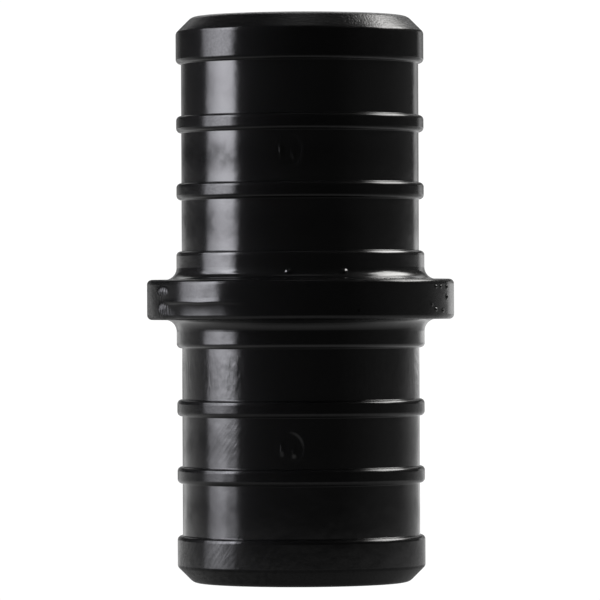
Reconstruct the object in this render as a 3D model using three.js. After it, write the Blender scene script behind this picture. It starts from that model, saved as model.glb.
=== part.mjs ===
// Barbed insert coupling for cross-linked polyethylene (PEX) water pipe.
//
// The real coupling is one injection moulding in black polymer. Each end is pushed into a
// pipe until the pipe's end meets the stop flange, and a crimp ring then squeezes the pipe
// on to the ribs. Nothing on it moves. The moulding is described here as the three regions
// that do its three jobs: an insert end for each pipe, and the stop flange between them.
// The regions meet face to face on the two flange faces, and one waterway runs through.
//
// Millimetres. +Z runs up the waterway and the origin is in the middle of the stop flange.

import * as THREE from 'three';

// Driving dimensions
const OVERALL_LENGTH = 50.8;
const PIPE_INSIDE_DIAMETER = 22.2;
const WATERWAY_DIAMETER = 16.5;
const FLANGE_DIAMETER = 27.6;
const FLANGE_THICKNESS = 3.6;

// Sizes that follow from them
const END_HEIGHT = OVERALL_LENGTH / 2;
const FLANGE_FACE_HEIGHT = FLANGE_THICKNESS / 2;
const FLANGE_RADIUS = FLANGE_DIAMETER / 2;
const RIB_RADIUS = PIPE_INSIDE_DIAMETER / 2;
const BARREL_RADIUS = RIB_RADIUS - 0.45;
const WATERWAY_RADIUS = WATERWAY_DIAMETER / 2;

// The waterway is drafted: it narrows a little from each end towards the flange.
const WATERWAY_DRAFT = 0.07;
const FLANGE_WATERWAY_RADIUS = WATERWAY_RADIUS - WATERWAY_DRAFT;
const WATERWAY_EDGE_BEVEL = 0.3;

// The collar is the thick root of an insert end, blended into the flange by a fillet.
const COLLAR_RADIUS = RIB_RADIUS + 0.05;
const COLLAR_HEIGHT = 4.3;
const COLLAR_BEVEL = 0.2;
const FOOT_FILLET_RADIUS = 1.05;
const FOOT_FILLET_STEPS = 4;
const FOOT_RADIUS = COLLAR_RADIUS + FOOT_FILLET_RADIUS;

// Two flat-topped ribs stand between the collar and the head.
const RIB_HEIGHTS = [9.7, 15.73];
const RIB_WIDTH = 1.5;
const RIB_BEVEL = 0.2;

// The head leads the insert end into the pipe, so its outer edge has a 45 degree chamfer.
const HEAD_RADIUS = RIB_RADIUS + 0.03;
const HEAD_LENGTH = 4.25;
const HEAD_BEVEL = 0.2;
const LEAD_CHAMFER = 1.45;

// The flange's rim has soft edges.
const RIM_ROUND_RADIUS = 0.45;
const RIM_ROUND_STEPS = 2;

// Number of flat facets round every turned surface
const FACETS = 64;

const BLACK_POLYMER = { color: 0x0b0b0c, roughness: 0.3, metalness: 0 };

function point(radius, height) {
  return new THREE.Vector2(radius, height);
}

function arc(centreRadius, centreHeight, radius, startDegrees, endDegrees, steps) {
  const points = [];
  for (let step = 0; step <= steps; step += 1) {
    const degrees = startDegrees + ((endDegrees - startDegrees) * step) / steps;
    const angle = THREE.MathUtils.degToRad(degrees);
    points.push(point(
      centreRadius + radius * Math.cos(angle),
      centreHeight + radius * Math.sin(angle),
    ));
  }
  return points;
}

// The outline of one rib, from its foot nearest the flange to its foot nearest the head.
function ribProfile(height) {
  const low = height - RIB_WIDTH / 2;
  const high = height + RIB_WIDTH / 2;
  return [
    point(BARREL_RADIUS, low),
    point(RIB_RADIUS - RIB_BEVEL, low),
    point(RIB_RADIUS, low + RIB_BEVEL),
    point(RIB_RADIUS, high - RIB_BEVEL),
    point(RIB_RADIUS - RIB_BEVEL, high),
    point(BARREL_RADIUS, high),
  ];
}

function collarProfile() {
  const filletCentreHeight = FLANGE_FACE_HEIGHT + FOOT_FILLET_RADIUS;
  return [
    ...arc(FOOT_RADIUS, filletCentreHeight, FOOT_FILLET_RADIUS, 270, 180, FOOT_FILLET_STEPS),
    point(COLLAR_RADIUS, COLLAR_HEIGHT - COLLAR_BEVEL),
    point(COLLAR_RADIUS - COLLAR_BEVEL, COLLAR_HEIGHT),
    point(BARREL_RADIUS, COLLAR_HEIGHT),
  ];
}

function headProfile() {
  const low = END_HEIGHT - HEAD_LENGTH;
  return [
    point(BARREL_RADIUS, low),
    point(HEAD_RADIUS - HEAD_BEVEL, low),
    point(HEAD_RADIUS, low + HEAD_BEVEL),
    point(HEAD_RADIUS, END_HEIGHT - LEAD_CHAMFER),
    point(HEAD_RADIUS - LEAD_CHAMFER, END_HEIGHT),
  ];
}

function waterwayProfile() {
  return [
    point(WATERWAY_RADIUS + WATERWAY_EDGE_BEVEL, END_HEIGHT),
    point(WATERWAY_RADIUS, END_HEIGHT - WATERWAY_EDGE_BEVEL),
    point(FLANGE_WATERWAY_RADIUS, FLANGE_FACE_HEIGHT),
  ];
}

// The half section of the upper insert end: up its outside, over the end face, down the waterway.
function insertEndProfile() {
  return [
    ...collarProfile(),
    ...RIB_HEIGHTS.flatMap(ribProfile),
    ...headProfile(),
    ...waterwayProfile(),
  ];
}

// Turned upside down, with the points in the opposite order so that the solid stays right side out.
function mirrored(profile) {
  return profile.map(({ x, y }) => point(x, -y)).reverse();
}

// Each flange face has an inner ring, which the foot of an insert end covers, and an outer ring,
// which stays bare and stops the pipe.
function stopFlangeProfile() {
  const rimCentreRadius = FLANGE_RADIUS - RIM_ROUND_RADIUS;
  const rimCentreHeight = FLANGE_FACE_HEIGHT - RIM_ROUND_RADIUS;
  return [
    point(FLANGE_WATERWAY_RADIUS, -FLANGE_FACE_HEIGHT),
    point(FOOT_RADIUS, -FLANGE_FACE_HEIGHT),
    ...arc(rimCentreRadius, -rimCentreHeight, RIM_ROUND_RADIUS, -90, 0, RIM_ROUND_STEPS),
    ...arc(rimCentreRadius, rimCentreHeight, RIM_ROUND_RADIUS, 0, 90, RIM_ROUND_STEPS),
    point(FOOT_RADIUS, FLANGE_FACE_HEIGHT),
    point(FLANGE_WATERWAY_RADIUS, FLANGE_FACE_HEIGHT),
  ];
}

// A solid turned about +Z from a half section that closes on itself.
function turnedMesh(name, profile) {
  const geometry = new THREE.LatheGeometry([...profile, profile[0].clone()], FACETS);
  geometry.rotateX(Math.PI / 2);
  const mesh = new THREE.Mesh(geometry, new THREE.MeshStandardMaterial(BLACK_POLYMER));
  mesh.name = name;
  return mesh;
}

function upperInsertEnd() {
  return turnedMesh('upper_insert_end', insertEndProfile());
}

function stopFlange() {
  return turnedMesh('stop_flange', stopFlangeProfile());
}

function lowerInsertEnd() {
  return turnedMesh('lower_insert_end', mirrored(insertEndProfile()));
}

const group = new THREE.Group();
group.add(upperInsertEnd(), stopFlange(), lowerInsertEnd());

export default group;
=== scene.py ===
"""A barbed insert coupling for plastic water pipe, in glossy black moulded polymer.

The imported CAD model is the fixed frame. Its three nodes are regions of one moulding, and each is
replaced here by a fine mesh of the same region: true fillets, soft edges, mould marks and
procedural black plastic. Sizes are in millimetres until the meshes are made, and then in metres.
Azimuth 0 is the front of the object (-Y), and azimuth grows towards its right side (+X).
"""

import math

import bpy
from mathutils import Euler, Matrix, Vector


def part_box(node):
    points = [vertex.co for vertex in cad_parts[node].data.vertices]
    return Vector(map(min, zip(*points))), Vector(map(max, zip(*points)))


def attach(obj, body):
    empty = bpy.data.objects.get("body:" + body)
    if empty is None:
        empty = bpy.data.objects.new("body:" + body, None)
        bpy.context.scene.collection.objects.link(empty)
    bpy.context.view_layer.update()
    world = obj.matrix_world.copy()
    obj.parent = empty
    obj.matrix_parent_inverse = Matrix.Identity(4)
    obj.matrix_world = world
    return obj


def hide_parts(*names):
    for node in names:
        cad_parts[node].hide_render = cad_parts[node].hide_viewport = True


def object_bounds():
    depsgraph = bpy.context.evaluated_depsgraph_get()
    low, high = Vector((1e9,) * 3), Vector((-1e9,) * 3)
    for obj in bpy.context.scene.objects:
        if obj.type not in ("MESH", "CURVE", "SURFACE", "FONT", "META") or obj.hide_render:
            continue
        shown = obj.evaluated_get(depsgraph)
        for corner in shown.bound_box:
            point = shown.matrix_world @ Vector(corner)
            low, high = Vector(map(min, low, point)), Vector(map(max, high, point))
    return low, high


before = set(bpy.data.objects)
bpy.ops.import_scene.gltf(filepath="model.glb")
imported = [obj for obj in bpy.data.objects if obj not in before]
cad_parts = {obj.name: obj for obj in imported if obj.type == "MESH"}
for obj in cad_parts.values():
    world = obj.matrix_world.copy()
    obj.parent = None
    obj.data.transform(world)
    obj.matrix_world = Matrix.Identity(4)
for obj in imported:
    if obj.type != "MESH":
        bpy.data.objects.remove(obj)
cad_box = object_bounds()

MM = 0.001

# Driving sizes, read from the frame, in millimetres
END_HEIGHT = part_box("upper_insert_end")[1].z / MM
FLANGE_FACE_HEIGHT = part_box("stop_flange")[1].z / MM
FLANGE_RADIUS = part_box("stop_flange")[1].x / MM
FOOT_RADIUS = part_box("upper_insert_end")[1].x / MM

# The insert ends, in millimetres
FOOT_FILLET_RADIUS = 1.05
COLLAR_RADIUS = FOOT_RADIUS - FOOT_FILLET_RADIUS
COLLAR_HEIGHT = 4.35
RIB_RADIUS = 11.12
RIB_HEIGHTS = (9.7, 15.73)
RIB_WIDTH = 1.52
BARREL_RADIUS = 10.67
HEAD_RADIUS = 11.14
HEAD_LENGTH = 4.24
LEAD_CHAMFER = 1.45
EDGE_ROUND = 0.42
BASE_FILLET = 0.04
CHAMFER_ROUND = 0.45
END_ROUND = 0.9

# The waterway, in millimetres
WATERWAY_RADIUS = 8.25
FLANGE_WATERWAY_RADIUS = 8.18
MOUTH_ROUND = 0.25

# The flange's rim, in millimetres
RIM_ROUND = 0.45
PARTING_HEIGHT = -0.32
PARTING_WAVE = 0.03
PARTING_WAVES_ROUND = 20
PARTING_LEDGE = 0.08
PARTING_LIP = 0.02
PARTING_HOLLOW = 0.15
PARTING_HOLLOW_HEIGHT = 1.1

# Where a maker would put lettering the rim has plain fine strokes on the left and small studs on
# the right. Each patch is its azimuth in degrees, then height, half width, half height and rise.
STROKE_PITCH = 0.36
STROKE_PATCHES = (
    (-63, 0.72, 1.5, 0.6, 0.14),
    (-63, -0.86, 1.5, 0.8, 0.12),
    (-68, -0.1, 2.8, 1.8, 0.02),
)
STUDS = (
    (60.5, 1.1, 0.24, 0.22, 0.14),
    (64.5, 1.1, 0.24, 0.22, 0.14),
    (70.5, 1.05, 0.35, 0.25, 0.15),
    (70.5, 0.15, 0.35, 0.3, 0.15),
    (60.5, -0.92, 0.3, 0.24, 0.16),
    (66.5, -1.05, 0.35, 0.22, 0.12),
    (57.5, -0.5, 0.24, 0.22, 0.08),
)

# The round moulding mark on the front of each insert end, in millimetres
MARK_AZIMUTH = math.radians(-5.8)
MARK_HEIGHT = 13.15
MARK_ACROSS = 1.42
MARK_UP = 1.6
MARK_DEPTH = 0.035
MARK_TILT = 0.06
MARK_WALL_SHARE = 0.2

# Two plain studs in it: how far across and up, half width, half height and rise. The last number
# is how far from its middle, as a share of its half height, a stud starts to slope off.
MARK_STUDS = (
    (-0.62, 0, 0.24, 0.75, 0.08),
    (0.44, -0.38, 0.24, 0.5, 0.08),
)
MARK_STUD_SLOPE = 0.2

# The two pips at the foot of the upper collar, in millimetres
PIP_AZIMUTHS = (math.radians(-5.2), math.radians(19.8))
PIP_HEIGHT = 2.48
PIP_ACROSS = 0.48
PIP_UP = 0.32
PIP_RISE = 0.18

# How much of its gloss each surface has lost, from 0 to 1; grooves from the flange outwards
CREST_DULLNESS = 0.4
CHAMFER_DULLNESS = 0.4
RIM_DULLNESS = 0.22
RIM_END_DULLNESS = 0.75
RIM_EDGE_DULLNESS = 0.35
COLLAR_DULLNESS = 0.1
WATERWAY_DULLNESS = 0.3
UPPER_GROOVE_DULLNESS = (0.46, 0.5, 0.12)
LOWER_GROOVE_DULLNESS = (0.12, 0.28, 0.36)

# A dull scuff on the front of the rim, in millimetres
SCUFF = (math.radians(21.7), -0.98)
SCUFF_RADIUS = 0.3

# The plastic: the colour of its body, and the roughness and refractive index of its glossy skin
BODY_COLOUR = (0.0025, 0.0025, 0.0026, 1)
SKIN_ROUGHNESS = 0.13
SKIN_INDEX = 1.53

# The moulded texture, in millimetres: the size of each pattern and how far it stands out. The flow
# marks and the rub marks also lose some gloss, as a share of it, and the rub marks run one way.
CLOUD_SIZE = 2.0
GRAIN_SIZE, GRAIN_DEPTH = 0.18, 0.022
SINK_SIZE, SINK_DEPTH = 3.0, 0.035
PEEL_SIZE, PEEL_DEPTH = 0.5, 0.003
FLOW_SIZE, FLOW_DEPTH, FLOW_LOSS = 0.4, 0.0045, 0.08
BRUSH_SIZE, BRUSH_DEPTH, BRUSH_LOSS = 0.32, 0.003, 0.2
BRUSH_WAY = (0.456, -0.411, 0.79)

# The lit floor round the object, in millimetres: how far below the object it lies, how far it
# reaches, where the bright part near the object fades out, where the shade at the object's foot
# ends and where the distant part dims. Then the shares of its glow left in that shade and at the
# horizon, from 0 to 1, and the azimuth in degrees of its dark side.
FLOOR_GAP = 0.05
FLOOR_INNER, FLOOR_OUTER = 8, 6000
NEAR_FLOOR_START, NEAR_FLOOR_END = 22, 140
SHADE_START, SHADE_END = 12, 34
DIMMING_START, DIMMING_END = 200, 1700
FOOT_SHADE = 0.3
HORIZON_SHARE = 0.7
DARK_SIDE = 6

# The camera, far off and level with the flange: its place and lens in millimetres, its roll in degrees
CAMERA_PLACE = (-0.05, -490, -0.06)
CAMERA_LENS = 327
CAMERA_ROLL = 0.25

# Mesh fineness
COLUMNS = 192
ARC_STEP = math.radians(7)
ROW_STEP = 0.45
WATERWAY_STEP = 2
FLOOR_RINGS = 60
GUARD_STEP = 0.03
FINE_STEP = 0.06


# --- outlines -------------------------------------------------------------------------------


def arc(centre, radius, start, end):
    """Points on an arc about centre, from the start to the end angle in degrees."""
    start, end = math.radians(start), math.radians(end)
    steps = max(2, math.ceil(abs(end - start) / ARC_STEP))
    points = []
    for step in range(steps + 1):
        angle = start + (end - start) * step / steps
        points.append((centre[0] + radius * math.cos(angle), centre[1] + radius * math.sin(angle)))
    return points


def rounded(corners):
    """The points of a line through (radius, height, rounding) corners, with each corner rounded."""
    points = []
    for index, (radius, height, rounding) in enumerate(corners):
        corner = Vector((radius, height))
        if rounding == 0:
            points.append(tuple(corner))
            continue
        before = (Vector(corners[index - 1][:2]) - corner).normalized()
        after = (Vector(corners[(index + 1) % len(corners)][:2]) - corner).normalized()
        half_angle = before.angle(after) / 2
        centre = corner + (before + after).normalized() * rounding / math.sin(half_angle)
        reach = rounding / math.tan(half_angle)
        first = corner + before * reach - centre
        last = corner + after * reach - centre
        turn = first.angle_signed(last)
        steps = max(2, math.ceil(abs(turn) / ARC_STEP))
        start = math.atan2(first.y, first.x)
        for step in range(steps + 1):
            angle = start - turn * step / steps
            points.append((centre.x + rounding * math.cos(angle), centre.y + rounding * math.sin(angle)))
    return points


def rib_corners(height):
    """The corners of one rib, from its foot nearest the flange to its foot nearest the head."""
    low, high = height - RIB_WIDTH / 2, height + RIB_WIDTH / 2
    return [
        (BARREL_RADIUS, low, BASE_FILLET),
        (RIB_RADIUS, low, EDGE_ROUND),
        (RIB_RADIUS, high, EDGE_ROUND),
        (BARREL_RADIUS, high, BASE_FILLET),
    ]


def insert_end_outline():
    """The half section of the upper insert end, up its outside and down its waterway."""
    head_low = END_HEIGHT - HEAD_LENGTH
    foot = arc((FOOT_RADIUS, FLANGE_FACE_HEIGHT + FOOT_FILLET_RADIUS), FOOT_FILLET_RADIUS, 270, 180)
    corners = [(COLLAR_RADIUS, COLLAR_HEIGHT, EDGE_ROUND)]
    corners += [(BARREL_RADIUS, COLLAR_HEIGHT, BASE_FILLET)]
    for height in RIB_HEIGHTS:
        corners += rib_corners(height)
    corners += [
        (BARREL_RADIUS, head_low, BASE_FILLET),
        (HEAD_RADIUS, head_low, EDGE_ROUND),
        (HEAD_RADIUS, END_HEIGHT - LEAD_CHAMFER, CHAMFER_ROUND),
        (HEAD_RADIUS - LEAD_CHAMFER, END_HEIGHT, END_ROUND),
        (WATERWAY_RADIUS, END_HEIGHT, MOUTH_ROUND),
        (FLANGE_WATERWAY_RADIUS, FLANGE_FACE_HEIGHT, 0),
    ]
    return foot + rounded([(*foot[-1], 0)] + corners)[1:]


def flange_outline():
    """The half section of the stop flange."""
    face, rim = FLANGE_FACE_HEIGHT, FLANGE_RADIUS
    return rounded([
        (FLANGE_WATERWAY_RADIUS, -face, 0),
        (rim, -face, RIM_ROUND),
        (rim, face, RIM_ROUND),
        (FLANGE_WATERWAY_RADIUS, face, 0),
    ])


def mirrored(outline):
    """The outline upside down, in the order that keeps the solid right side out."""
    return [(radius, -height) for radius, height in reversed(outline)]


def stretch_shares(length, step):
    """Where a straight stretch is cut, as shares of its length, with a guard point near each end."""
    if length < 4 * GUARD_STEP:
        return [0]
    count = max(1, round(length / step))
    shares = {0, GUARD_STEP / length, 1 - GUARD_STEP / length}
    shares.update(part / count for part in range(1, count))
    return sorted(shares)


def in_short_steps(outline, fine_ranges):
    """The closed outline with its long straight stretches cut into short steps.

    Outside surfaces between the heights of a fine range are cut into fine steps, and the plain
    wall of the waterway into long ones.
    """
    points = []
    for index, (radius, height) in enumerate(outline):
        following = outline[(index + 1) % len(outline)]
        length = math.hypot(following[0] - radius, following[1] - height)
        outside = min(radius, following[0]) > WATERWAY_RADIUS + 1
        low, high = sorted((height, following[1]))
        fine = outside and any(low < top and high > bottom for bottom, top in fine_ranges)
        step = FINE_STEP if fine else ROW_STEP
        if max(radius, following[0]) <= WATERWAY_RADIUS:
            step = WATERWAY_STEP
        for share in stretch_shares(length, step):
            points.append((radius + (following[0] - radius) * share,
                           height + (following[1] - height) * share))
    return points


# --- relief ---------------------------------------------------------------------------------


def smooth_step(low, high, value):
    """0 below low, 1 above high, and a smooth rise between them. low may be the larger one."""
    share = min(1, max(0, (value - low) / (high - low)))
    return share * share * (3 - 2 * share)


def mark_relief(azimuth, height):
    """The round moulding mark: a shallow tilted dish with two tall studs in it."""
    across = (azimuth - MARK_AZIMUTH) * BARREL_RADIUS
    up = height - math.copysign(MARK_HEIGHT, height)
    inside = smooth_step(1, 1 - MARK_WALL_SHARE, math.hypot(across / MARK_ACROSS, up / MARK_UP))
    rise = 0
    for stud_across, stud_up, half_width, half_height, stud_rise in MARK_STUDS:
        along = smooth_step(1, MARK_STUD_SLOPE, abs(up - stud_up) / half_height)
        rise += stud_rise * along * smooth_step(1, 0, abs(across - stud_across) / half_width)
    lower_right = across / MARK_ACROSS - 0.5 * up / MARK_UP
    return rise - inside * (MARK_DEPTH + MARK_TILT * lower_right)


def pip_relief(azimuth, height):
    """The two small pips at the foot of the upper collar."""
    rise = 0
    for pip in PIP_AZIMUTHS:
        across = (azimuth - pip) * COLLAR_RADIUS / PIP_ACROSS
        up = (height - PIP_HEIGHT) / PIP_UP
        rise += PIP_RISE * smooth_step(1, 0, math.hypot(across, up))
    return rise


def insert_end_relief(radius, azimuth, height):
    """The relief of an insert end, which is all on its outside."""
    if radius < WATERWAY_RADIUS + 1:
        return 0
    return mark_relief(azimuth, height) + pip_relief(azimuth, height)


def parting_relief(azimuth, height):
    """The moulded ledge on the left front of the rim: a lip above it and a tapered face below."""
    degrees = math.degrees(azimuth)
    share = smooth_step(-64, -54, degrees) * smooth_step(-12, -42, degrees)
    line = PARTING_HEIGHT + PARTING_WAVE * math.sin(azimuth * PARTING_WAVES_ROUND)
    lip = PARTING_LIP * smooth_step(line + 0.5, line + 0.08, height)
    below = smooth_step(line + 0.12, line - 0.12, height)
    to_bottom = min(1, max(0, 1 - (line - height) / PARTING_HOLLOW_HEIGHT))
    cut = PARTING_LIP + PARTING_LEDGE + PARTING_HOLLOW * (1 - to_bottom ** 2)
    return share * (lip - below * cut)


def patch_share(patch, azimuth, height):
    """How far inside a patch of the rim a point is: 1 at its middle, 0 at its edge and beyond."""
    patch_azimuth, patch_height, half_width, half_height = patch
    across = (azimuth - math.radians(patch_azimuth)) * FLANGE_RADIUS / half_width
    return smooth_step(1, 0, math.hypot(across, (height - patch_height) / half_height))


def lettering_relief(azimuth, height):
    """The fine strokes and the studs on the rim."""
    stroke = 0.5 + 0.5 * math.sin(2 * math.pi * azimuth * FLANGE_RADIUS / STROKE_PITCH)
    rise = 0
    for *patch, patch_rise in STROKE_PATCHES:
        rise += patch_rise * stroke * patch_share(patch, azimuth, height)
    for *stud, stud_rise in STUDS:
        rise += stud_rise * patch_share(stud, azimuth, height)
    return rise


def rim_relief(radius, azimuth, height):
    """The relief of the stop flange, which is all on its rim."""
    if radius < FLANGE_RADIUS - RIM_ROUND:
        return 0
    return parting_relief(azimuth, height) + lettering_relief(azimuth, height)


# --- finish ---------------------------------------------------------------------------------


def groove_dullness(height):
    """How dull the middle of a groove is, which differs from groove to groove."""
    low_edges = (COLLAR_HEIGHT, *(rib + RIB_WIDTH / 2 for rib in RIB_HEIGHTS))
    high_edges = (*(rib - RIB_WIDTH / 2 for rib in RIB_HEIGHTS), END_HEIGHT - HEAD_LENGTH)
    shares = UPPER_GROOVE_DULLNESS if height > 0 else LOWER_GROOVE_DULLNESS
    dull = 0
    for low, high, share in zip(low_edges, high_edges, shares):
        from_middle = abs(2 * abs(height) - low - high) / (high - low)
        dull += share * smooth_step(0.85, 0.15, from_middle)
    return dull


def is_outside(radius):
    """1 on the outside of the part, 0 in its waterway."""
    return smooth_step(WATERWAY_RADIUS + 0.3, WATERWAY_RADIUS + 1, radius)


def left_front(azimuth):
    """1 on the left of the front, fading to 0 on either side of it."""
    return smooth_step(45, 20, abs(math.degrees(azimuth) + 45))


def chamfered(height):
    """1 on the lead chamfers and the end faces, 0 between them."""
    return smooth_step(END_HEIGHT - LEAD_CHAMFER - 0.1, END_HEIGHT - LEAD_CHAMFER + 0.3, abs(height))


def rim_wear(azimuth, height):
    """How dull the rim is: more so at its left end, and in one small scuff."""
    left_end = smooth_step(24, 12, abs(math.degrees(azimuth) + 80))
    off_scuff = math.hypot((azimuth - SCUFF[0]) * FLANGE_RADIUS, height - SCUFF[1])
    edge = smooth_step(FLANGE_FACE_HEIGHT - RIM_ROUND, FLANGE_FACE_HEIGHT, abs(height))
    wear = RIM_DULLNESS + (RIM_END_DULLNESS - RIM_DULLNESS) * left_end + RIM_EDGE_DULLNESS * edge
    return max(wear, smooth_step(SCUFF_RADIUS, 0, off_scuff))


def cloudy(radius, azimuth, height):
    """How much gloss the barrel has lost in cloudy patches, mostly on the left of the front."""
    raised = smooth_step(BARREL_RADIUS, BARREL_RADIUS + 0.3, radius)
    return groove_dullness(height) * (1 - raised) * (0.4 + 0.6 * left_front(azimuth))


def worn(radius, azimuth, height):
    """How much gloss the raised surfaces and the waterway have lost, in a fine grain."""
    if radius < WATERWAY_RADIUS + 0.3:
        return WATERWAY_DULLNESS
    if radius > FOOT_RADIUS:
        return rim_wear(azimuth, height)
    if abs(height) < COLLAR_HEIGHT:
        return COLLAR_DULLNESS
    raised = smooth_step(BARREL_RADIUS, BARREL_RADIUS + 0.3, radius)
    return max(CREST_DULLNESS * raised, CHAMFER_DULLNESS * chamfered(height))


def grainy(radius, azimuth, height):
    """How strong the grain stands out: it does on the lead chamfers."""
    return is_outside(radius) * chamfered(height)


def flow_marks(radius, azimuth, height):
    """How strong the flow marks along the axis are: they show in the groove under the flange."""
    return is_outside(radius) * smooth_step(-COLLAR_HEIGHT + 0.5, -COLLAR_HEIGHT - 1.5, height) \
        * smooth_step(-RIB_HEIGHTS[0] + 0.7, -RIB_HEIGHTS[0] + 1.7, height)


def brush_marks(radius, azimuth, height):
    """How strong the slanting rub marks are: on the left of the lower head and of a groove."""
    head = smooth_step(-END_HEIGHT + HEAD_LENGTH + 0.5, -END_HEIGHT + HEAD_LENGTH, height)
    groove = 0.6 * smooth_step(2.4, 1.2, abs(height + (RIB_HEIGHTS[0] + RIB_HEIGHTS[1]) / 2))
    return is_outside(radius) * max(head, groove) * left_front(azimuth)


FINISHES = {"cloudy": cloudy, "worn": worn, "grainy": grainy, "flow": flow_marks, "brush": brush_marks}


# --- meshes ---------------------------------------------------------------------------------


def columns(fine_ranges):
    """Azimuths right round, in radians, closer together inside the fine ranges."""
    azimuths = [2 * math.pi * column / COLUMNS - math.pi for column in range(COLUMNS)]
    for low, high in fine_ranges:
        azimuths = [azimuth for azimuth in azimuths if not low <= azimuth <= high]
        count = math.ceil((high - low) * BARREL_RADIUS / FINE_STEP)
        azimuths += [low + (high - low) * step / count for step in range(count + 1)]
    return sorted(azimuths)


def turned(name, outline, azimuths, relief):
    """A closed mesh turned about Z. relief moves each point of the surface out or in."""
    vertices = []
    for azimuth in azimuths:
        for radius, height in outline:
            moved = (radius + relief(radius, azimuth, height)) * MM
            vertices.append((moved * math.sin(azimuth), -moved * math.cos(azimuth), height * MM))
    rows = len(outline)
    faces = []
    for column in range(len(azimuths)):
        here, there = column * rows, (column + 1) % len(azimuths) * rows
        for row in range(rows):
            above = (row + 1) % rows
            faces.append((here + row, there + row, there + above, here + above))
    mesh = bpy.data.meshes.new(name)
    mesh.from_pydata(vertices, [], faces)
    mesh.shade_smooth()
    for finish, strength_at in FINISHES.items():
        strengths = [strength_at(radius, azimuth, height)
                     for azimuth in azimuths for radius, height in outline]
        mesh.attributes.new(finish, "FLOAT", "POINT").data.foreach_set("value", strengths)
    piece = bpy.data.objects.new(name, mesh)
    bpy.context.scene.collection.objects.link(piece)
    return piece


# --- materials ------------------------------------------------------------------------------


class Shading:
    """The nodes of one material, with short ways to make and link the kinds used here."""

    def __init__(self, name):
        self.material = bpy.data.materials.new(name)
        self.material.use_nodes = True
        self.tree = self.material.node_tree
        self.shader = self.tree.nodes["Principled BSDF"]

    def fill(self, socket, value):
        """Link a node's output to a socket, or set the socket's own number."""
        if isinstance(value, bpy.types.NodeSocket):
            self.tree.links.new(value, socket)
        else:
            socket.default_value = value

    def place(self):
        return self.tree.nodes.new("ShaderNodeTexCoord").outputs["Object"]

    def strength(self, finish):
        """One of the finishes stored on the mesh."""
        node = self.tree.nodes.new("ShaderNodeAttribute")
        node.attribute_name = finish
        return node.outputs["Fac"]

    def marks(self, place, way, size, stretch):
        """Marks from -0.5 to 0.5, stretched out a given way by squeezing the place along it."""
        along = self.vector_math("PROJECT", place, way)
        squeezed = self.vector_math("SCALE", along)
        squeezed.node.inputs["Scale"].default_value = 1 / stretch - 1
        return self.spread(self.noise(self.vector_math("ADD", place, squeezed), size, 1),
                           0.35, 0.65, -0.5, 0.5)

    def vector_math(self, operation, first, second=(0, 0, 0)):
        node = self.tree.nodes.new("ShaderNodeVectorMath")
        node.operation = operation
        self.fill(node.inputs[0], first)
        self.fill(node.inputs[1], second)
        return node.outputs["Vector"]

    def math(self, operation, first, second):
        node = self.tree.nodes.new("ShaderNodeMath")
        node.operation = operation
        self.fill(node.inputs[0], first)
        self.fill(node.inputs[1], second)
        return node.outputs["Value"]

    def noise(self, place, size, detail=2):
        """A pattern from 0 to 1 of patches of a size in millimetres."""
        node = self.tree.nodes.new("ShaderNodeTexNoise")
        self.fill(node.inputs["Vector"], place)
        node.inputs["Scale"].default_value = 1 / (size * MM)
        node.inputs["Detail"].default_value = detail
        return node.outputs["Fac"]

    def spread(self, value, low, high, to_low, to_high):
        """The value's stretch from low to high moved to another range, with soft ends."""
        node = self.tree.nodes.new("ShaderNodeMapRange")
        node.interpolation_type = "SMOOTHSTEP"
        for name, number in zip(("Value", "From Min", "From Max", "To Min", "To Max"),
                                (value, low, high, to_low, to_high)):
            self.fill(node.inputs[name], number)
        return node.outputs["Result"]

    def bump(self, height, depth, below=None):
        """A bump of a depth in millimetres, on top of another one."""
        node = self.tree.nodes.new("ShaderNodeBump")
        node.inputs["Distance"].default_value = depth * MM
        self.fill(node.inputs["Height"], height)
        if below is not None:
            self.fill(node.inputs["Normal"], below)
        return node.outputs["Normal"]


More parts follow.
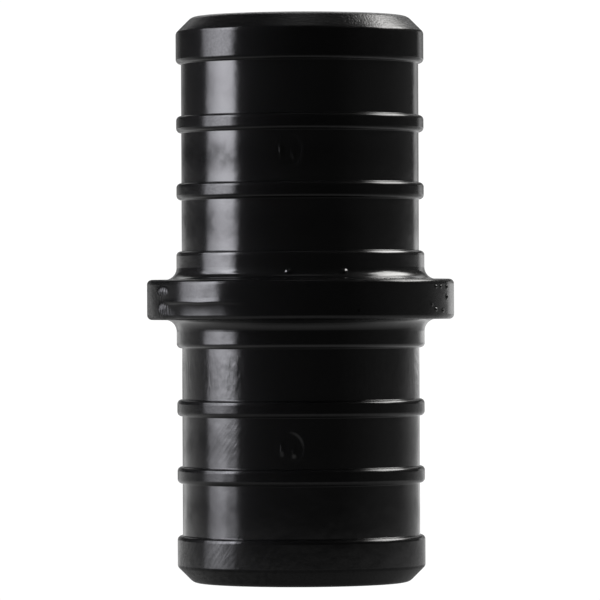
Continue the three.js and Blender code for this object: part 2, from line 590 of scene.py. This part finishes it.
def black_polymer():
    """Black moulded plastic: a glossy skin, which is the coat, over a dull body.

    The skin is thinner where the surface is dull. Cloudy patches, a fine grain, flow marks and
    slanting rub marks vary it, and the bumps are sink waves, orange peel and the same marks.
    """
    shading = Shading("black_polymer")
    place = shading.place()
    clouds = shading.spread(shading.noise(place, CLOUD_SIZE, 5), 0.35, 0.65, 0.4, 1.25)
    grain = shading.spread(shading.noise(place, GRAIN_SIZE, 3), 0.3, 0.7, 0.7, 1.15)
    flow = shading.marks(place, (0, 0, 1), FLOW_SIZE, 3)
    brush = shading.marks(place, BRUSH_WAY, BRUSH_SIZE, 6)
    flow_height = shading.math("MULTIPLY", flow, shading.strength("flow"))
    brush_height = shading.math("MULTIPLY", brush, shading.strength("brush"))

    lost = shading.math("MULTIPLY", clouds, shading.strength("cloudy"))
    lost = shading.math("ADD", lost, shading.math("MULTIPLY", grain, shading.strength("worn")))
    lost = shading.math("ADD", lost, shading.math("MULTIPLY", flow_height, FLOW_LOSS))
    lost = shading.math("ADD", lost, shading.math("MULTIPLY", brush_height, BRUSH_LOSS))
    skin = shading.math("SUBTRACT", 1, lost)

    sinks = shading.bump(shading.noise(place, SINK_SIZE), SINK_DEPTH)
    peel = shading.bump(shading.noise(place, PEEL_SIZE), PEEL_DEPTH, sinks)
    grain_height = shading.math("MULTIPLY", grain, shading.strength("grainy"))
    grain_bump = shading.bump(grain_height, GRAIN_DEPTH, peel)
    flow_bump = shading.bump(flow_height, FLOW_DEPTH, grain_bump)
    surface = shading.bump(brush_height, BRUSH_DEPTH, flow_bump)

    inputs = shading.shader.inputs
    inputs["Base Color"].default_value = BODY_COLOUR
    inputs["Specular IOR Level"].default_value = 0.03
    inputs["Coat Roughness"].default_value = SKIN_ROUGHNESS
    inputs["Coat IOR"].default_value = SKIN_INDEX
    shading.fill(inputs["Roughness"], shading.spread(clouds, 0.4, 1.25, 0.42, 0.55))
    shading.fill(inputs["Coat Weight"], skin)
    shading.fill(inputs["Normal"], surface)
    shading.fill(inputs["Coat Normal"], surface)
    return shading.material


# --- stage, light and camera ----------------------------------------------------------------


def glow_material(name, colour):
    """A light's face, seen through: it adds its mesh's glow to what lies behind it."""
    material = bpy.data.materials.new(name)
    material.use_nodes = True
    nodes, links = material.node_tree.nodes, material.node_tree.links
    nodes.clear()
    glow = nodes.new("ShaderNodeAttribute")
    glow.attribute_name = "glow"
    emission = nodes.new("ShaderNodeEmission")
    emission.inputs["Color"].default_value = (*colour, 1)
    links.new(glow.outputs["Fac"], emission.inputs["Strength"])
    clear = nodes.new("ShaderNodeBsdfTransparent")
    both = nodes.new("ShaderNodeAddShader")
    links.new(clear.outputs[0], both.inputs[0])
    links.new(emission.outputs[0], both.inputs[1])
    output = nodes.new("ShaderNodeOutputMaterial")
    links.new(both.outputs[0], output.inputs["Surface"])
    return material


def direction(azimuth, elevation):
    """The unit vector towards an azimuth from the front and an elevation, both in degrees."""
    azimuth, elevation = math.radians(azimuth), math.radians(elevation)
    return Vector((
        math.cos(elevation) * math.sin(azimuth),
        -math.cos(elevation) * math.cos(azimuth),
        math.sin(elevation),
    ))


def glowing_sheet(name, points, glows, rows, colour):
    """A sheet of points, in columns of so many rows, that the camera doesn't see."""
    faces = []
    for corner in range(len(points) - rows):
        if corner % rows < rows - 1:
            faces.append((corner, corner + 1, corner + rows + 1, corner + rows))
    mesh = bpy.data.meshes.new(name)
    mesh.from_pydata(points, [], faces)
    mesh.attributes.new("glow", "FLOAT", "POINT").data.foreach_set("value", glows)
    mesh.materials.append(glow_material(name, colour))
    sheet = bpy.data.objects.new(name, mesh)
    sheet.visible_camera = False
    bpy.context.scene.collection.objects.link(sheet)


def soft_light(name, distance, azimuths, elevations, glow_at, colour=(1, 1, 1)):
    """A curved glowing panel round the object.

    It spans the azimuths and elevations, and glow_at gives its brightness by both, in degrees.
    """
    across = range(azimuths[0], azimuths[1] + 1, 2)
    up = range(elevations[0], elevations[1] + 1)
    grid = [(azimuth, elevation) for azimuth in across for elevation in up]
    points = [direction(azimuth, elevation) * distance for azimuth, elevation in grid]
    glows = [glow_at(azimuth, elevation) for azimuth, elevation in grid]
    glowing_sheet(name, points, glows, len(up), colour)


def left_softbox_glow(azimuth, elevation):
    """A tall softbox on the left, and its reflection in the floor.

    It is brightest towards the front, it leans in, so that its top looks wider, and its
    reflection in the floor is cut off at the front.
    """
    widening = 17 * smooth_step(10, 40, elevation)
    corner = 14 * smooth_step(22, 44, elevation)
    across = smooth_step(-105 - widening, -97 - widening, azimuth)
    across *= smooth_step(-61 - corner, -69 - corner, azimuth)
    hot = 3.0 + 5.8 * smooth_step(-104, -76, azimuth)
    up = 0.45 * smooth_step(-20, -3, elevation) + 0.55 * smooth_step(-3.5, 2, elevation)
    up += 0.4 * smooth_step(12, 35, elevation)
    up *= 1 - 0.6 * smooth_step(-82, -72, azimuth) * smooth_step(-0.3, -1.5, elevation)
    top = 40 + 10 * smooth_step(-118, -92, azimuth)
    return hot * across * up * smooth_step(top + 3, top - 5, elevation)


def rear_softbox_glow(azimuth, elevation):
    """A softbox high up on the right, a little behind the object."""
    across = smooth_step(86, 98, azimuth) * smooth_step(158, 128, azimuth)
    return 10 * across * smooth_step(26, 36, elevation) * smooth_step(57, 48, elevation)


def ceiling_glow(azimuth, elevation):
    """A pale ceiling behind the object."""
    across = smooth_step(152, 170, azimuth) * smooth_step(208, 190, azimuth)
    across += (1 - across) * smooth_step(75, 90, elevation)
    return across * (0.3 + 1.3 * smooth_step(88, 60, elevation)) * smooth_step(10, 30, elevation)


def backdrop_glow(azimuth, elevation):
    """A pale backdrop behind the object, with a dim band in the middle."""
    across = smooth_step(141, 149, azimuth) * smooth_step(219, 196, azimuth)
    across *= 1 - 0.6 * smooth_step(154, 162, azimuth)
    return 0.7 * across * smooth_step(36, 14, elevation)


def right_fill_glow(azimuth, elevation):
    """A weak fill from the right."""
    return 0.04 * smooth_step(30, 70, azimuth) * smooth_step(150, 110, azimuth) \
        * smooth_step(70, 30, elevation)


def turn_from_dark_side(azimuth):
    """How far an azimuth is from the floor's dark side, in degrees."""
    return abs((azimuth - DARK_SIDE + 180) % 360 - 180)


def far_floor_glow(azimuth):
    """The brightness of the distant floor, which grows towards the back."""
    turn = turn_from_dark_side(azimuth)
    sides = 0.06 * smooth_step(50, 90, turn) + 0.5 * smooth_step(95, 150, turn)
    return sides + 0.35 * smooth_step(140, 160, turn) - 0.5 * smooth_step(158, 170, turn)


def near_floor_glow(azimuth):
    """The brightness of the floor close to the object: it's lit from the sides and the back."""
    return 0.4 + 0.34 * smooth_step(30, 100, turn_from_dark_side(azimuth))


def floor_glow(azimuth, distance):
    """The brightness of the lit floor at an azimuth and a distance in millimetres."""
    nearness = math.log(NEAR_FLOOR_END / distance) / math.log(NEAR_FLOOR_END / NEAR_FLOOR_START)
    nearness = min(1, max(0, nearness))
    dimming = smooth_step(math.log(DIMMING_START), math.log(DIMMING_END), math.log(distance))
    far = far_floor_glow(azimuth) * (1 - (1 - HORIZON_SHARE) * dimming)
    near = near_floor_glow(azimuth)
    lit = FOOT_SHADE + (1 - FOOT_SHADE) * smooth_step(SHADE_START, SHADE_END, distance)
    return (far + (near - far) * nearness) * lit


def floor_light():
    """The lit floor: a disc that fades with distance and into the shadow round the object's foot."""
    below = Vector((0, 0, cad_box[0][2] - FLOOR_GAP * MM))
    points, glows = [], []
    for azimuth in range(-180, 181, 3):
        for ring in range(FLOOR_RINGS + 1):
            distance = FLOOR_INNER * (FLOOR_OUTER / FLOOR_INNER) ** (ring / FLOOR_RINGS)
            points.append(direction(azimuth, 0) * distance * MM + below)
            glows.append(floor_glow(azimuth, distance))
    glowing_sheet("floor_light", points, glows, FLOOR_RINGS + 1, (1, 1, 1))


def horizon_glow(azimuth, elevation):
    """The soft edge where the distant floor meets the room."""
    glow = HORIZON_SHARE * far_floor_glow(azimuth)
    return glow * smooth_step(2, -0.2, elevation) * smooth_step(-0.4, 0, elevation)


def studio_lights():
    soft_light("left_softbox", 0.9, (-124, -60), (-20, 53), left_softbox_glow, (0.96, 0.96, 1.03))
    soft_light("rear_softbox", 0.9, (86, 158), (26, 56), rear_softbox_glow, (1.0, 0.99, 0.97))
    soft_light("ceiling", 1.0, (0, 360), (10, 90), ceiling_glow)
    soft_light("backdrop", 1.0, (140, 220), (-1, 36), backdrop_glow)
    soft_light("right_fill", 1.0, (30, 140), (-60, 70), right_fill_glow)
    soft_light("horizon", 1.1, (-180, 180), (-1, 2), horizon_glow)
    floor_light()


def pale_floor():
    """A plain pale floor, seen only by the camera and only from above.

    The floor light stands for its glow.
    """
    size = 3.0
    z = cad_box[0][2]
    mesh = bpy.data.meshes.new("floor")
    mesh.from_pydata([(-size, -size, z), (size, -size, z), (size, size, z), (-size, size, z)],
                     [], [(0, 1, 2, 3)])
    material = bpy.data.materials.new("floor")
    material.use_nodes = True
    nodes, links = material.node_tree.nodes, material.node_tree.links
    nodes.clear()
    emission = nodes.new("ShaderNodeEmission")
    emission.inputs["Strength"].default_value = 1.05
    side = nodes.new("ShaderNodeNewGeometry")
    seen = nodes.new("ShaderNodeMixShader")
    links.new(side.outputs["Backfacing"], seen.inputs["Fac"])
    links.new(emission.outputs[0], seen.inputs[1])
    links.new(nodes.new("ShaderNodeBsdfTransparent").outputs[0], seen.inputs[2])
    output = nodes.new("ShaderNodeOutputMaterial")
    links.new(seen.outputs[0], output.inputs["Surface"])
    mesh.materials.append(material)
    floor = bpy.data.objects.new("floor", mesh)
    floor.visible_glossy = False
    floor.visible_diffuse = False
    floor.visible_shadow = False
    bpy.context.scene.collection.objects.link(floor)


def studio_world():
    """White to the camera, and a dim room to everything else."""
    world = bpy.data.worlds.new("studio")
    bpy.context.scene.world = world
    world.use_nodes = True
    nodes, links = world.node_tree.nodes, world.node_tree.links
    background = nodes["Background"]
    path = nodes.new("ShaderNodeLightPath")
    seen = nodes.new("ShaderNodeMix")
    links.new(path.outputs["Is Camera Ray"], seen.inputs["Factor"])
    seen.inputs["A"].default_value = 0.045
    seen.inputs["B"].default_value = 1.05
    background.inputs["Color"].default_value = (1, 1, 1, 1)
    links.new(seen.outputs[0], background.inputs["Strength"])


def camera():
    lens = bpy.data.cameras.new("camera")
    lens.sensor_width = 36
    lens.lens = CAMERA_LENS
    eye = bpy.data.objects.new("camera", lens)
    eye.location = Vector(CAMERA_PLACE) * MM
    eye.rotation_euler = Euler((math.radians(90), math.radians(CAMERA_ROLL), 0))
    lens.clip_start = 0.01
    bpy.context.scene.collection.objects.link(eye)
    bpy.context.scene.camera = eye


# --- the object -----------------------------------------------------------------------------


def place(piece, node, plastic):
    """Finish a piece: its material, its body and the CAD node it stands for."""
    piece.data.materials.append(plastic)
    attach(piece, "root")
    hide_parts(node)


def around(azimuth, reach):
    """The range of azimuths that reaches so many millimetres to each side of one."""
    turn = reach / BARREL_RADIUS
    return azimuth - turn, azimuth + turn


def insert_end(node, outline, plastic):
    """One insert end, with fine rows and columns where its relief is."""
    heights = [(side * height - reach, side * height + reach)
               for height, reach in ((MARK_HEIGHT, MARK_UP), (PIP_HEIGHT, PIP_UP))
               for side in (-1, 1)]
    azimuths = columns([around(MARK_AZIMUTH, MARK_ACROSS + 0.1),
                        around(PIP_AZIMUTHS[1], PIP_ACROSS + 0.1)])
    outline = in_short_steps(outline, heights)
    place(turned(node + "_skin", outline, azimuths, insert_end_relief), node, plastic)


def stop_flange(plastic):
    """The stop flange, with fine rows and columns on its rim."""
    outline = in_short_steps(flange_outline(), [(-FLANGE_FACE_HEIGHT, FLANGE_FACE_HEIGHT)])
    ranges = [(math.radians(low), math.radians(high)) for low, high in ((-80, -20), (19, 24), (55, 78))]
    azimuths = columns(ranges)
    place(turned("stop_flange_skin", outline, azimuths, rim_relief), "stop_flange", plastic)


bpy.context.scene.view_settings.view_transform = "Standard"
camera()
studio_world()
studio_lights()
pale_floor()
plastic = black_polymer()
insert_end("upper_insert_end", insert_end_outline(), plastic)
insert_end("lower_insert_end", mirrored(insert_end_outline()), plastic)
stop_flange(plastic)
